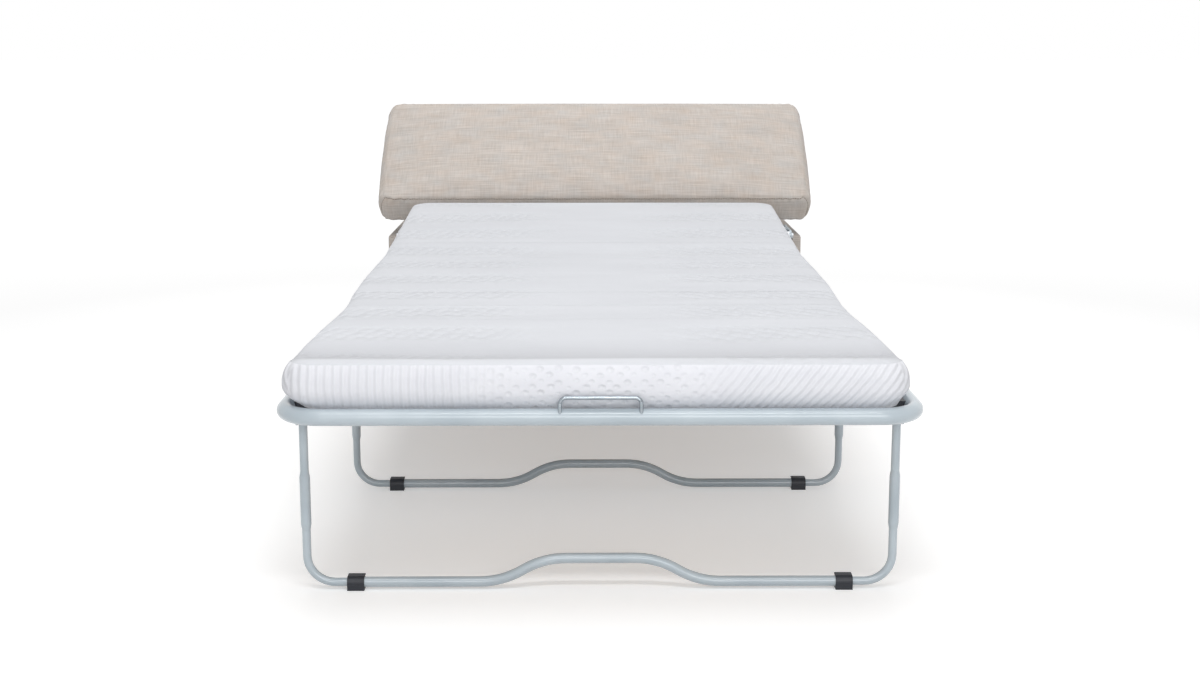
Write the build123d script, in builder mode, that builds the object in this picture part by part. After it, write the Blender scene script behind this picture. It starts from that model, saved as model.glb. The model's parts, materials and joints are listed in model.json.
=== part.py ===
from build123d import *
from math import atan2, cos, degrees, radians, sin, tan
import os

# Fold-out ottoman guest bed, open for sleeping, with the front half of the lid raised as a
# headrest. Millimetres, +Z up, +X to the right, +Y from the foot end towards the ottoman box.
# The origin is on the floor below the middle of the whole object.

os.makedirs("parts", exist_ok=True)

# Bed frame tubes
rail_spacing = 926
rail_height = 292
rail_radius = 12.5
rail_wall = 2.2
rail_bend = 60
cross_tube_radius = 9.5
cross_tube_wall = 1.5
cross_tube_drop = 5
cross_tube_inset = 52

# Lengths of the sections, from the front rail to the ottoman
foot_section = 460
link_length = 170
middle_section = 620
head_section = 631
head_slope = 4.3
box_gap = 88

# Folding hinges in the side rails
pin_radius = 4
running_clearance = 0.05
pin_head_radius = 7
pin_head_thickness = 3
hinge_overlap = 15
hinge_side_gap = 1
link_thickness = 5
link_width = 30
hinge_plate_length = 90
swing_room = 22

# Dimples in the front rail's lower edge, where the deck is crimped to it
dimple_count = 4
dimple_spacing = 209
dimple_depth = 1.6
dimple_width = 22

# Wire bail that keeps the mattress in place at the foot end
bail_width = 117
bail_radius = 2.8
bail_rise = 30
bail_bend = 9
bail_forward = 8

# Leg hoops
leg_spacing = 891
front_leg_inset = 98
rear_leg_inset = 27
leg_pivot_drop = 25
slim_tube_radius = 6.5
wide_tube_radius = 8
leg_wall = 1.2
sleeve_top = 186
sleeve_bottom = 94
sleeve_taper = 9
floor_bend = 42
clip_drop = 3.5
clip_spacing = 744
clip_width = 26
clip_wall = 1.6
clip_tab = 3
wave_rise = 37
wave_start = 184
wave_end = 52
eye_radius = 9
ear_thickness = 2.5
ear_side_gap = 1
ear_width = 20
web_thickness = 5
web_rise = 3

# Slats and the caps that hold them to the rails
slat_width = 53
slat_thickness = 8
slat_bow = 3
slat_pitch = 95
slat_end_gap = 12
slat_height_share = 0.2
cap_length = 34
cap_wall = 2.5
cap_fit = 0.2

# Mattress
mattress_side_inset = 3
mattress_thickness = 66
mattress_crown = 4
mattress_lower_inset = 20
mattress_upper_inset = 13
mattress_corner = 46
mattress_front_overhang = 4
soft_gap = 0.3
fold_before_hinge = 30
fold_after_hinge = 85

# Ottoman box
box_depth = 740
box_rise = 21
box_bottom = 25
panel_thickness = 25
front_panel_drop = 37
base_thickness = 12
liner_thickness = 2
box_foot_radius = 26
box_foot_taper = 4
box_foot_inset = 70
panel_round = 6

# Lid halves, each a padded cushion on a board
lid_side_overhang = 22.5
lid_overhang = 3
lid_tilt = 37.5
lid_lift = 39
lid_clearance = 1.5
headrest_depth = 382
lid_gap = 4
cushion_band = 70
cushion_crown = 30
cushion_side_bulge = 10
cushion_corner = 34
board_thickness = 15
board_inset = 14

# Arms from the head frame into the box, which also carry the headrest
arm_thickness = 5
arm_width = 26
arm_side_gap = 9
arm_mount_inset = 17
arm_knee_drop = 23
arm_wall_run = 100
arm_wall_drop = 88
spacer_radius = 10
bracket_thickness = 5
bracket_width = 26
bracket_reach = 150
collar_length = 3.5
collar_radius = 9
pivot_radius = 5
wall_plate_length = 120
wall_plate_height = 76
wall_plate_thickness = 18.5
wall_bolt_radius = 4
wall_bolt_bite = 18
wall_bolt_spacing = 84
wall_bolt_drop = 26
bolt_head_radius = 7
bolt_head_height = 5
flange_thickness = 3
flange_width = 26

overrun = 5

# Stations along the bed, from the front rail's centre line
foot_hinge = foot_section
middle_hinge = foot_hinge + link_length
head_hinge = middle_hinge + middle_section
head_end = head_hinge + head_section
box_front = head_end + box_gap
box_back = box_front + box_depth
lid_front = box_front - lid_overhang
lid_back = box_back + lid_overhang
origin_station = (lid_back - rail_radius) / 2


def y_of(station):
    """Y in the part's own frame, for a place measured back from the front rail."""
    return station - origin_station


# Heights and half widths that several pieces share
mattress_width = rail_spacing - 2 * mattress_side_inset
box_top = rail_height + box_rise
front_panel_top = rail_height - front_panel_drop
rail_x = rail_spacing / 2
rail_outer_x = rail_x + rail_radius
link_x = rail_outer_x + hinge_side_gap
leg_x = leg_spacing / 2
leg_pivot_z = rail_height - leg_pivot_drop
floor_bar_z = clip_drop + wide_tube_radius
slat_top_z = rail_height + slat_thickness * slat_height_share + slat_bow
cap_top_z = slat_top_z + cap_wall
mattress_bottom_z = cap_top_z + soft_gap
arm_x = rail_outer_x + arm_side_gap
bracket_x = arm_x - collar_length - bracket_thickness
inner_wall_x = arm_x + arm_thickness + wall_plate_thickness + liner_thickness
box_width = 2 * (inner_wall_x + panel_thickness)
lid_width = box_width + 2 * lid_side_overhang
lid_rest_z = box_top + lid_clearance
raised_edge_z = lid_rest_z + lid_lift
pivot_forward = lid_lift / 2 / tan(radians(lid_tilt / 2))
pivot_y = y_of(lid_front) - pivot_forward
pivot_z = raised_edge_z - lid_lift / 2
arm_end = (y_of(box_front) + arm_wall_run, pivot_z - arm_wall_drop)
wall_bolt_places = [
    arm_end,
    (arm_end[0] - wall_bolt_spacing / 2, arm_end[1] - wall_bolt_drop),
    (arm_end[0] + wall_bolt_spacing / 2, arm_end[1] - wall_bolt_drop),
]
hinge_axis = Axis((0, y_of(head_hinge), rail_height), (1, 0, 0))
lid_plane = Plane(
    origin=(0, y_of(lid_front), raised_edge_z),
    x_dir=(1, 0, 0),
    z_dir=(0, -sin(radians(lid_tilt)), cos(radians(lid_tilt))),
)


def save(solid, name):
    """Label one finished piece and write it."""
    solid.label = name
    export_step(solid, f"parts/{name}.step")


def sloped(solid):
    """Turn a piece of the head section up to its slope, about the head hinge."""
    return solid.rotate(hinge_axis, head_slope)


def raised(solid):
    """Carry a piece made flat at the origin to the raised headrest."""
    return solid.moved(lid_plane.location)


def rod(radius, x_low, x_high, y, z, mode=Mode.ADD):
    """A round bar along X, or a hole for one."""
    with Locations(Location(((x_low + x_high) / 2, y, z), (0, 90, 0))):
        Cylinder(radius, x_high - x_low, mode=mode)


def tube(points, radius, wall, bend):
    """A bent tube through the points."""
    with BuildLine() as route:
        FilletPolyline(*points, radius=bend)
    with BuildSketch(Plane(origin=route.wire() @ 0, z_dir=route.wire() % 0)) as section:
        Circle(radius)
        Circle(radius - wall, mode=Mode.SUBTRACT)
    sweep(section.sketch, path=route.wire())


def straight_tube(start, end, radius, wall):
    """A straight tube between two points."""
    direction = Vector(*end) - Vector(*start)
    with BuildSketch(Plane(origin=start, z_dir=direction)) as section:
        Circle(radius)
        Circle(radius - wall, mode=Mode.SUBTRACT)
    extrude(section.sketch, amount=direction.length)


def flat_bar(points, width, x_low, thickness):
    """A flat bar standing in the YZ plane, with round ends and corners at the points."""
    with BuildSketch(Plane.YZ.offset(x_low)) as outline:
        for start, end in zip(points, points[1:]):
            run = Vector(*end) - Vector(*start)
            middle = (Vector(*end) + Vector(*start)) / 2
            with Locations((middle.X, middle.Y)):
                SlotCenterToCenter(run.length, width, rotation=degrees(atan2(run.Y, run.X)))
    extrude(outline.sketch, amount=thickness)


def rail_route(open_station, end_station):
    """The corners of a side rail, the end rail and the other side rail."""
    open_y, end_y = y_of(open_station), y_of(end_station)
    plan = [(-rail_x, open_y), (-rail_x, end_y), (rail_x, end_y), (rail_x, open_y)]
    return [(x, y, rail_height) for x, y in plan]


def rail_space(route):
    """The room that a bent rail takes below the mattress, with the soft gap round it."""
    with BuildPart() as space:
        with BuildLine() as line:
            FilletPolyline(*route, radius=rail_bend)
        with BuildSketch(Plane(origin=line.wire() @ 0, z_dir=line.wire() % 0)):
            Circle(rail_radius + soft_gap)
        sweep(path=line.wire())
    return space


def rail_pin_holes(stations):
    """Holes across both side rails for the hinge pins."""
    for station in stations:
        reach = rail_outer_x + overrun
        rod(pin_radius + running_clearance, -reach, reach, y_of(station), rail_height, Mode.SUBTRACT)


def cross_tube(station):
    """A tube between the side rails, below the slats."""
    z = rail_height - cross_tube_drop
    reach = rail_x - rail_radius + rail_wall / 2
    straight_tube((-reach, y_of(station), z), (reach, y_of(station), z), cross_tube_radius, cross_tube_wall)


def slat_stations(start, end):
    """Evenly spread places for the slats of one section."""
    first = start + slat_width / 2 + slat_end_gap
    last = end - slat_width / 2 - slat_end_gap
    count = max(2, round((last - first) / slat_pitch) + 1)
    return [first + (last - first) * index / (count - 1) for index in range(count)]


cap_outer_x = rail_x - rail_radius / 2
cap_inner_x = rail_x - rail_radius - cap_length
slat_half_length = rail_x - rail_radius - cap_length / 4
slat_end_z = slat_top_z - slat_bow


def slat_section(extra):
    """One slat's bowed outline, seen along the bed, grown by a clearance."""
    with BuildLine() as outline:
        low = slat_end_z - slat_thickness - extra
        high = slat_end_z + extra
        half = slat_half_length + extra
        ThreePointArc((-half, high), (0, high + slat_bow), (half, high))
        Line((half, high), (half, low))
        ThreePointArc((half, low), (0, low + slat_bow), (-half, low))
        Line((-half, low), (-half, high))
    make_face(outline.edges())


def slats(stations):
    """Sprung timber slats, each a separate solid."""
    with BuildPart() as made:
        for station in stations:
            with BuildSketch(Plane.XZ.offset(-y_of(station) - slat_width / 2)):
                slat_section(0)
            extrude(amount=slat_width)
    return made.part


def slat_caps(stations):
    """Moulded caps that grip the slat ends and seat on the rails."""
    with BuildPart() as made:
        for station in stations:
            for side in (-1, 1):
                middle_x = side * (cap_outer_x + cap_inner_x) / 2
                low = slat_end_z - slat_thickness - cap_wall
                with Locations((middle_x, y_of(station), (cap_top_z + low) / 2)):
                    Box(cap_outer_x - cap_inner_x, slat_width + 2 * cap_wall, cap_top_z - low)
        vertical = made.edges().filter_by(Axis.Z)
        fillet(vertical, cap_wall)
        for station in stations:
            with BuildSketch(Plane.XZ.offset(-y_of(station) - slat_width / 2 - cap_fit)):
                slat_section(cap_fit)
            extrude(amount=slat_width + 2 * cap_fit, mode=Mode.SUBTRACT)
        for side in (-1, 1):
            middle_y = y_of((stations[0] + stations[-1]) / 2)
            length = stations[-1] - stations[0] + slat_width + 4 * cap_wall
            with Locations(Location((side * rail_x, middle_y, rail_height), (90, 0, 0))):
                Cylinder(rail_radius, length, mode=Mode.SUBTRACT)
    return made.part


def mattress_section(station):
    """The mattress cut across: narrow between the rails, bulging above them, crowned."""
    half = mattress_width / 2
    low = mattress_bottom_z
    waist = low + mattress_thickness / 2
    high = low + mattress_thickness - mattress_crown
    lower, upper = half - mattress_lower_inset, half - mattress_upper_inset
    with BuildSketch(Plane.XZ.offset(-y_of(station))) as section:
        with BuildLine():
            Line((lower, low), (-lower, low))
            ThreePointArc((-lower, low), (-half, waist), (-upper, high))
            ThreePointArc((-upper, high), (0, high + mattress_crown), (upper, high))
            ThreePointArc((upper, high), (half, waist), (lower, low))
        make_face()
    return section.sketch


def mattress_block(start, end, round_start, round_end):
    """One length of the mattress, with the ends that show rounded."""
    half = mattress_width / 2
    low = mattress_bottom_z
    waist = low + mattress_thickness / 2
    top = low + mattress_thickness
    with BuildPart() as made:
        extrude(mattress_section(start), amount=start - end)
        with BuildSketch(Plane.YZ.offset(-half - overrun)):
            with BuildLine():
                lead = mattress_lower_inset if round_start else 0
                trail = mattress_lower_inset if round_end else 0
                upper_lead = mattress_upper_inset if round_start else 0
                upper_trail = mattress_upper_inset if round_end else 0
                front, back = y_of(start), y_of(end)
                Line((back - trail, low), (front + lead, low))
                if round_start:
                    ThreePointArc((front + lead, low), (front, waist), (front + upper_lead, top))
                else:
                    Line((front, low), (front, top))
                Line((front + upper_lead, top), (back - upper_trail, top))
                if round_end:
                    ThreePointArc((back - upper_trail, top), (back, waist), (back - trail, low))
                else:
                    Line((back, top), (back, low))
            make_face()
        extrude(amount=mattress_width + 2 * overrun, mode=Mode.INTERSECT)
        if round_start or round_end:
            with BuildSketch(Plane.XY.offset(low - overrun)):
                with Locations((0, (front + back) / 2)):
                    Rectangle(mattress_width, end - start)
                corners = vertices().sort_by(Axis.Y)
                fillet(corners[:2] if round_start else corners[2:], mattress_corner)
            extrude(amount=mattress_thickness + 2 * overrun, mode=Mode.INTERSECT)
    return made.part


def cushion(width, depth):
    """A lid cushion made flat: near lower edge on X, crowned top, bulging boxing."""
    half = width / 2
    high = cushion_band
    crown_x = cushion_crown / 2
    crown_y = cushion_crown - crown_x
    with BuildPart() as made:
        with BuildLine(Plane.YZ) as ridge:
            ThreePointArc((0, 0), (depth / 2, crown_y), (depth, 0))
        with BuildSketch(Plane.XZ):
            with BuildLine():
                skirt = -crown_y - overrun
                seam = half - cushion_side_bulge
                Line((seam, skirt), (-seam, skirt))
                Line((-seam, skirt), (-seam, 0))
                ThreePointArc((-seam, 0), (-half, high / 2), (-seam, high))
                ThreePointArc((-seam, high), (0, high + crown_x), (seam, high))
                ThreePointArc((seam, high), (half, high / 2), (seam, 0))
                Line((seam, 0), (seam, skirt))
            make_face()
        sweep(path=ridge.wire(), transition=Transition.RIGHT)
        with BuildSketch(Plane.YZ.offset(-half - overrun)):
            with BuildLine():
                tall = high + cushion_crown + overrun
                inset = cushion_side_bulge
                Line((inset, 0), (depth - inset, 0))
                ThreePointArc((depth - inset, 0), (depth, high / 2), (depth - inset, high))
                Line((depth - inset, high), (depth - inset, tall))
                Line((depth - inset, tall), (inset, tall))
                Line((inset, tall), (inset, high))
                ThreePointArc((inset, high), (0, high / 2), (inset, 0))
            make_face()
        extrude(amount=width + 2 * overrun, mode=Mode.INTERSECT)
        with BuildSketch():
            with Locations((0, depth / 2)):
                RectangleRounded(width, depth, cushion_corner)
        extrude(amount=high + 2 * cushion_crown, mode=Mode.INTERSECT)
        pocket = board_inset - soft_gap
        with BuildSketch():
            with Locations((0, depth / 2)):
                Rectangle(width - 2 * pocket, depth - 2 * pocket)
        extrude(amount=board_thickness + soft_gap, mode=Mode.SUBTRACT)
    return made.part


def lid_board(width, depth):
    """The board under a lid cushion, made flat."""
    with BuildPart() as made:
        with BuildSketch():
            with Locations((0, depth / 2)):
                Rectangle(width - 2 * board_inset, depth - 2 * board_inset)
        extrude(amount=board_thickness)
        fillet(made.edges().filter_by(Axis.Z), cushion_corner - board_inset)
    return made.part


def leg_hoop(station, name):
    """The pieces of one folding leg hoop and its brackets, written under the hoop's name."""
    y = y_of(station)
    with BuildPart() as upper_tubes:
        for side in (-1, 1):
            x = side * leg_x
            straight_tube((x, y, sleeve_top), (x, y, leg_pivot_z), slim_tube_radius, leg_wall)
            rod(eye_radius, x - slim_tube_radius, x + slim_tube_radius, y, leg_pivot_z)
            rod(pin_radius + running_clearance, x - eye_radius, x + eye_radius, y, leg_pivot_z, Mode.SUBTRACT)
    save(upper_tubes.part, f"{name}_upper_tubes")

    with BuildPart() as sleeves:
        for side in (-1, 1):
            with BuildSketch(Plane(origin=(side * leg_x, y, 0), x_dir=(1, 0, 0), z_dir=(0, -1, 0))):
                with BuildLine():
                    Polyline(
                        (slim_tube_radius - leg_wall, sleeve_bottom),
                        (slim_tube_radius, sleeve_bottom),
                        (wide_tube_radius, sleeve_bottom + sleeve_taper),
                        (wide_tube_radius, sleeve_top - sleeve_taper),
                        (slim_tube_radius, sleeve_top),
                        (slim_tube_radius - leg_wall, sleeve_top),
                        close=True,
                    )
                make_face()
            revolve(axis=Axis((side * leg_x, y, 0), (0, 0, 1)))
    save(sleeves.part, f"{name}_sleeves")

    clip_x = clip_spacing / 2
    with BuildPart() as corner_tubes:
        for side in (-1, 1):
            with BuildLine() as route:
                FilletPolyline(
                    (side * leg_x, y, sleeve_bottom),
                    (side * leg_x, y, floor_bar_z),
                    (side * clip_x, y, floor_bar_z),
                    radius=floor_bend,
                )
            with BuildSketch(Plane(origin=route.wire() @ 0, z_dir=route.wire() % 0)):
                Circle(slim_tube_radius)
                Circle(slim_tube_radius - leg_wall, mode=Mode.SUBTRACT)
            sweep(path=route.wire())
    save(corner_tubes.part, f"{name}_corner_tubes")

    wave_run = wave_start - wave_end
    wave_turn = 2 * degrees(atan2(wave_rise, wave_run))
    wave_radius = wave_run / 2 / sin(radians(wave_turn))
    with BuildPart() as wave_bar:
        with BuildLine(Plane.XZ.offset(-y)) as route:
            start = Line((-clip_x, floor_bar_z), (-wave_start, floor_bar_z))
            rise = JernArc(start @ 1, (1, 0), wave_radius, wave_turn)
            crest_start = JernArc(rise @ 1, rise % 1, wave_radius, -wave_turn)
            crest = Line(crest_start @ 1, (wave_end, floor_bar_z + wave_rise))
            fall = JernArc(crest @ 1, (1, 0), wave_radius, -wave_turn)
            level = JernArc(fall @ 1, fall % 1, wave_radius, wave_turn)
            Line(level @ 1, (clip_x, floor_bar_z))
        with BuildSketch(Plane(origin=(-clip_x, y, floor_bar_z), z_dir=(1, 0, 0))):
            Circle(wide_tube_radius)
            Circle(wide_tube_radius - leg_wall, mode=Mode.SUBTRACT)
        sweep(path=route.wire())
    save(wave_bar.part, f"{name}_wave_bar")

    with BuildPart() as clips:
        for side in (-1, 1):
            x = side * clip_x
            outer = wide_tube_radius + clip_wall
            with BuildSketch(Plane.YZ.offset(x - clip_width / 2)):
                with Locations((y, floor_bar_z)):
                    Circle(outer)
                with Locations((y, floor_bar_z / 2)):
                    Rectangle(2 * outer, floor_bar_z)
                with Locations((y + (outer + clip_tab) / 2, floor_bar_z + outer - clip_wall / 2)):
                    Rectangle(outer + clip_tab, clip_wall)
            extrude(amount=clip_width)
            inner, away = x - side * clip_width / 2, x + side * clip_width / 2
            wide, slim = wide_tube_radius + running_clearance, slim_tube_radius + running_clearance
            rod(wide, min(inner, x), max(inner, x), y, floor_bar_z, Mode.SUBTRACT)
            rod(slim, min(away, x), max(away, x), y, floor_bar_z, Mode.SUBTRACT)
    save(clips.part, f"{name}_foot_clips")

    ear_x = slim_tube_radius + ear_side_gap
    web_top = rail_height - rail_radius + web_rise
    web_bottom = rail_height - rail_radius - web_thickness / 2
    with BuildPart() as brackets:
        for side in (-1, 1):
            for x in (side * leg_x - ear_x - ear_thickness, side * leg_x + ear_x):
                with BuildSketch(Plane.YZ.offset(x)):
                    with Locations((y, leg_pivot_z)):
                        Circle(ear_width / 2)
                    with Locations((y, (leg_pivot_z + web_bottom) / 2)):
                        Rectangle(ear_width, web_bottom - leg_pivot_z + web_thickness)
                extrude(amount=ear_thickness)
            inner = leg_x - ear_x - ear_thickness
            with Locations((side * (inner + rail_x) / 2, y, (web_top + web_bottom) / 2)):
                Box(rail_x - inner, ear_width, web_top - web_bottom)
            with Locations(Location((side * rail_x, y, rail_height), (90, 0, 0))):
                Cylinder(rail_radius, 2 * ear_width, mode=Mode.SUBTRACT)
            reach = ear_x + ear_thickness + overrun
            x = side * leg_x
            rod(pin_radius + running_clearance, x - reach, x + reach, y, leg_pivot_z, Mode.SUBTRACT)
    save(brackets.part, f"{name}_brackets")

    with BuildPart() as pins:
        for side in (-1, 1):
            x = side * leg_x
            reach = ear_x + ear_thickness
            rod(pin_radius, x - reach, x + reach, y, leg_pivot_z)
            rod(pin_head_radius, x - reach - pin_head_thickness, x - reach, y, leg_pivot_z)
            rod(pin_head_radius, x + reach, x + reach + pin_head_thickness, y, leg_pivot_z)
    save(pins.part, f"{name}_pivot_pins")


# Foot section: the rail bent round the foot end, with a cross tube at the hinge
rail_end = foot_hinge + hinge_overlap
with BuildPart() as foot_frame:
    tube(rail_route(rail_end, 0), rail_radius, rail_wall, rail_bend)
    cross_tube(foot_hinge - cross_tube_inset)
    rail_pin_holes([foot_hinge])
    dimple_radius = (dimple_width**2 / 4 + dimple_depth**2) / (2 * dimple_depth)
    with Locations((0, y_of(0), rail_height - rail_radius - dimple_radius + dimple_depth)):
        with GridLocations(dimple_spacing, 0, dimple_count, 1):
            Sphere(dimple_radius, mode=Mode.SUBTRACT)
save(foot_frame.part, "foot_frame")

# The wire bail stands on the front rail and holds the mattress back
bail_y = y_of(-bail_forward)
bail_top = rail_height + bail_rise
with BuildPart() as mattress_bail:
    with BuildLine() as route:
        FilletPolyline(
            (-bail_width / 2, bail_y, rail_height),
            (-bail_width / 2, bail_y, bail_top),
            (bail_width / 2, bail_y, bail_top),
            (bail_width / 2, bail_y, rail_height),
            radius=bail_bend,
        )
    with BuildSketch(Plane(origin=route.wire() @ 0, z_dir=route.wire() % 0)):
        Circle(bail_radius)
    sweep(path=route.wire())
    rod(rail_radius, -bail_width, bail_width, y_of(0), rail_height, Mode.SUBTRACT)
save(mattress_bail.part, "mattress_bail")

# Link plates outside the rails, which let the foot section fold over the mattress
with BuildPart() as link_plates:
    for side in (-1, 1):
        x_low = link_x if side > 0 else -link_x - link_thickness
        points = [(y_of(foot_hinge), rail_height), (y_of(middle_hinge), rail_height)]
        flat_bar(points, link_width, x_low, link_thickness)
    for station in (foot_hinge, middle_hinge):
        reach = link_x + link_thickness + overrun
        rod(pin_radius + running_clearance, -reach, reach, y_of(station), rail_height, Mode.SUBTRACT)
save(link_plates.part, "link_plates")


def hinge_pins(stations, name):
    """Headed pins through the rails and the plates outside them."""
    inner = rail_x - rail_radius
    outer = link_x + link_thickness
    with BuildPart() as pins:
        for station in stations:
            for side in (-1, 1):
                y = y_of(station)
                low, high = sorted((side * inner, side * outer))
                rod(pin_radius, low, high, y, rail_height)
                low, high = sorted((side * (inner - pin_head_thickness), side * inner))
                rod(pin_head_radius, low, high, y, rail_height)
                low, high = sorted((side * outer, side * (outer + pin_head_thickness)))
                rod(pin_head_radius, low, high, y, rail_height)
    save(pins.part, name)


hinge_pins([foot_hinge, middle_hinge], "link_pins")
hinge_pins([head_hinge], "head_hinge_pins")

# Middle section: two straight rails and two cross tubes
with BuildPart() as middle_frame:
    for side in (-1, 1):
        start = (side * rail_x, y_of(middle_hinge - hinge_overlap), rail_height)
        end = (side * rail_x, y_of(head_hinge + hinge_overlap), rail_height)
        straight_tube(start, end, rail_radius, rail_wall)
    cross_tube(middle_hinge + cross_tube_inset)
    cross_tube(head_hinge - cross_tube_inset)
    rail_pin_holes([middle_hinge, head_hinge])
save(middle_frame.part, "middle_frame")

# Head section, made level and then turned up to its slope
head_rail_start = head_hinge + hinge_overlap + swing_room
head_rail_end = head_end - mattress_front_overhang
with BuildPart() as head_frame:
    tube(rail_route(head_rail_start, head_rail_end), rail_radius, rail_wall, rail_bend)
    cross_tube(head_rail_start + cross_tube_inset)
save(sloped(head_frame.part), "head_frame")

with BuildPart() as head_hinge_plates:
    for side in (-1, 1):
        x_low = link_x if side > 0 else -link_x - link_thickness
        points = [(y_of(head_hinge), rail_height), (y_of(head_hinge + hinge_plate_length), rail_height)]
        flat_bar(points, link_width, x_low, link_thickness)
        weld_low, weld_high = sorted((side * rail_x, side * link_x))
        middle_y = y_of((head_rail_start + head_hinge + hinge_plate_length) / 2)
        length = hinge_plate_length - hinge_overlap - swing_room
        with Locations(((weld_low + weld_high) / 2, middle_y, rail_height)):
            Box(weld_high - weld_low, length, rail_radius)
        with Locations(Location((side * rail_x, middle_y, rail_height), (90, 0, 0))):
            Cylinder(rail_radius, 2 * length, mode=Mode.SUBTRACT)
    reach = link_x + link_thickness + overrun
    rod(pin_radius + running_clearance, -reach, reach, y_of(head_hinge), rail_height, Mode.SUBTRACT)
save(sloped(head_hinge_plates.part), "head_hinge_plates")

# Slats and their caps
tube_clear = cross_tube_inset + cross_tube_radius
foot_slat_places = slat_stations(rail_bend, foot_hinge - tube_clear)
middle_slat_places = slat_stations(middle_hinge + tube_clear, head_hinge - tube_clear)
head_slat_places = slat_stations(head_rail_start + tube_clear, head_rail_end - rail_bend)
save(slats(foot_slat_places), "foot_slats")
save(slats(middle_slat_places), "middle_slats")
save(sloped(slats(head_slat_places)), "head_slats")
save(slat_caps(foot_slat_places), "foot_slat_caps")
save(slat_caps(middle_slat_places), "middle_slat_caps")
save(sloped(slat_caps(head_slat_places)), "head_slat_caps")

# Mattress, one cover in the real bed: rigid lengths on the sections and folds between them
foot_rail_space = rail_space(rail_route(rail_end, 0))
head_rail_space = rail_space(rail_route(head_rail_start, head_rail_end))
fold_start = head_hinge - fold_before_hinge
fold_end = head_hinge + fold_after_hinge
mattress_foot = mattress_block(-mattress_front_overhang, foot_hinge - soft_gap, True, False)
save(mattress_foot - foot_rail_space.part, "mattress_foot")
save(mattress_block(foot_hinge, middle_hinge, False, False), "mattress_foot_fold")
save(mattress_block(middle_hinge + soft_gap, fold_start - soft_gap, False, False), "mattress_middle")
mattress_head = mattress_block(fold_end + soft_gap, head_end, False, True)
save(sloped(mattress_head - head_rail_space.part), "mattress_head")

with BuildPart() as mattress_head_fold:
    loft([mattress_section(fold_start), sloped(mattress_section(fold_end))], ruled=True)
save(mattress_head_fold.part, "mattress_head_fold")

leg_hoop(front_leg_inset, "front_leg")
leg_hoop(middle_hinge + rear_leg_inset, "rear_leg")

# Ottoman box: four panels on a base board
side_length = box_depth - 2 * panel_thickness
wall_height = box_top - box_bottom
box_middle_y = y_of((box_front + box_back) / 2)
for side, side_name in ((-1, "left"), (1, "right")):
    with BuildPart() as side_panel:
        panel_x = side * (inner_wall_x + panel_thickness / 2)
        with Locations((panel_x, box_middle_y, box_bottom + wall_height / 2)):
            Box(panel_thickness, box_depth, wall_height)
        fillet(side_panel.edges().filter_by(Axis.Y).group_by(Axis.Z)[-1], panel_round)
        depth = inner_wall_x + wall_bolt_bite
        for y, z in wall_bolt_places:
            low, high = sorted((side * (inner_wall_x - overrun), side * depth))
            rod(wall_bolt_radius, low, high, y, z, Mode.SUBTRACT)
    save(side_panel.part, f"box_side_panel_{side_name}")

inner_width = box_width - 2 * panel_thickness
for station, top, name in (
    (box_front + panel_thickness / 2, front_panel_top, "box_front_panel"),
    (box_back - panel_thickness / 2, box_top, "box_back_panel"),
):
    with BuildPart() as cross_panel:
        with Locations((0, y_of(station), (top + box_bottom) / 2)):
            Box(inner_width, panel_thickness, top - box_bottom)
        fillet(cross_panel.edges().filter_by(Axis.X).group_by(Axis.Z)[-1], panel_round)
    save(cross_panel.part, name)

with BuildPart() as base_board:
    with Locations((0, box_middle_y, box_bottom + base_thickness / 2)):
        Box(inner_width, side_length, base_thickness)
save(base_board.part, "box_base_board")

base_top = box_bottom + base_thickness
liner_top = front_panel_top - panel_round
with BuildPart() as box_liner:
    with Locations((0, box_middle_y, (base_top + liner_top) / 2)):
        Box(inner_width, side_length, liner_top - base_top)
    offset(amount=-liner_thickness, openings=box_liner.faces().sort_by(Axis.Z)[-1])
    for side in (-1, 1):
        for y, z in wall_bolt_places:
            low, high = sorted((side * (inner_wall_x - overrun), side * (inner_wall_x + overrun)))
            rod(wall_bolt_radius, low, high, y, z, Mode.SUBTRACT)
save(box_liner.part, "box_liner")

with BuildPart() as box_feet:
    spread_x = box_width - 2 * box_foot_inset
    spread_y = box_depth - 2 * box_foot_inset
    with Locations((0, box_middle_y, box_bottom / 2)):
        with GridLocations(spread_x, spread_y, 2, 2):
            Cone(box_foot_radius - box_foot_taper, box_foot_radius, box_bottom)
save(box_feet.part, "box_feet")

# The arms, from the head rails past the headrest pivot and down to the box's side walls
slope = radians(head_slope)
arm_mount_reach = head_section - mattress_front_overhang - rail_bend - arm_mount_inset
mount_y = y_of(head_hinge) + arm_mount_reach * cos(slope)
mount_z = rail_height + arm_mount_reach * sin(slope)
arm_points = [
    (mount_y, mount_z),
    (pivot_y, pivot_z),
    (y_of(box_front), box_top - arm_knee_drop),
    arm_end,
]
with BuildPart() as head_arms:
    for side in (-1, 1):
        flat_bar(arm_points, arm_width, arm_x if side > 0 else -arm_x - arm_thickness, arm_thickness)
    reach = arm_x + arm_thickness + overrun
    rod(pivot_radius, -reach, reach, pivot_y, pivot_z, Mode.SUBTRACT)
    rod(pin_radius, -reach, reach, mount_y, mount_z, Mode.SUBTRACT)
    rod(wall_bolt_radius, -reach, reach, *arm_end, Mode.SUBTRACT)
save(head_arms.part, "head_arms")

# Spacers and bolts between the head rails and the arms
with BuildPart() as arm_spacers:
    for side in (-1, 1):
        low, high = sorted((side * rail_x, side * arm_x))
        rod(spacer_radius, low, high, mount_y, mount_z)
        with Locations(Location((side * rail_x, mount_y, mount_z), (90 + head_slope, 0, 0))):
            Cylinder(rail_radius, 4 * spacer_radius, mode=Mode.SUBTRACT)
    reach = arm_x + overrun
    rod(pin_radius, -reach, reach, mount_y, mount_z, Mode.SUBTRACT)
save(arm_spacers.part, "arm_spacers")

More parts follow.
